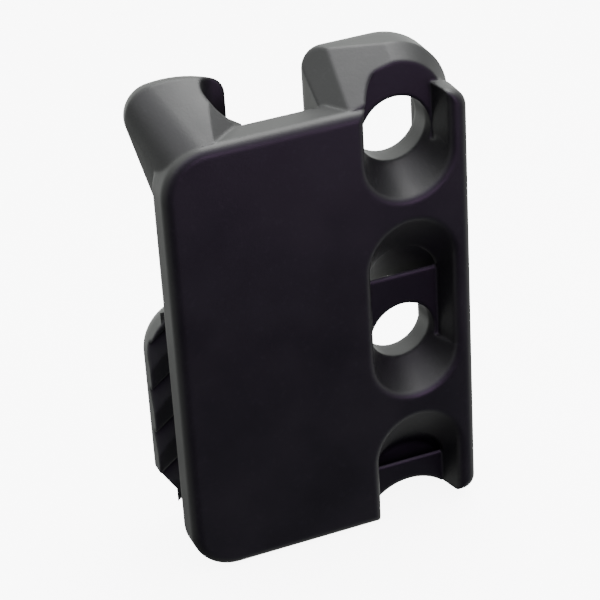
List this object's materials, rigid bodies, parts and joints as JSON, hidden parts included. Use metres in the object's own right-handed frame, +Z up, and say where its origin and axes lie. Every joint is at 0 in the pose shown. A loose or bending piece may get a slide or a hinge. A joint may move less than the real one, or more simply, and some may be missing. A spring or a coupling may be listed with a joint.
{
  "type": "side-entry line cleat with fairlead horn",
  "caption": "Plastic line cleat: tall spine with line holes and lashing pockets, smooth cheek, toothed side-entry V jaws and a fairlead horn that keeps the line in.",
  "frame": {"origin": "centre of the lower line hole, at the middle of the spine's depth", "axes": "+Z up along the cleat and the line it holds, -Y out of the smooth cheek, -X out of the open side of the jaws"},
  "size_m": [0.0414, 0.0146, 0.0661],
  "materials": {
    "body_nylon": "satin moulded",
    "jaw_nylon": "satin moulded",
    "stainless": "brushed",
    "brass": "machined"
  },
  "bodies": {
    "root": {"cleat_body": "body_nylon", "rear_jaw": "jaw_nylon", "front_jaw": "jaw_nylon", "rear_jaw_screws": "stainless", "front_jaw_screws": "stainless", "threaded_inserts": "brass"}
  },
  "joints": []
}
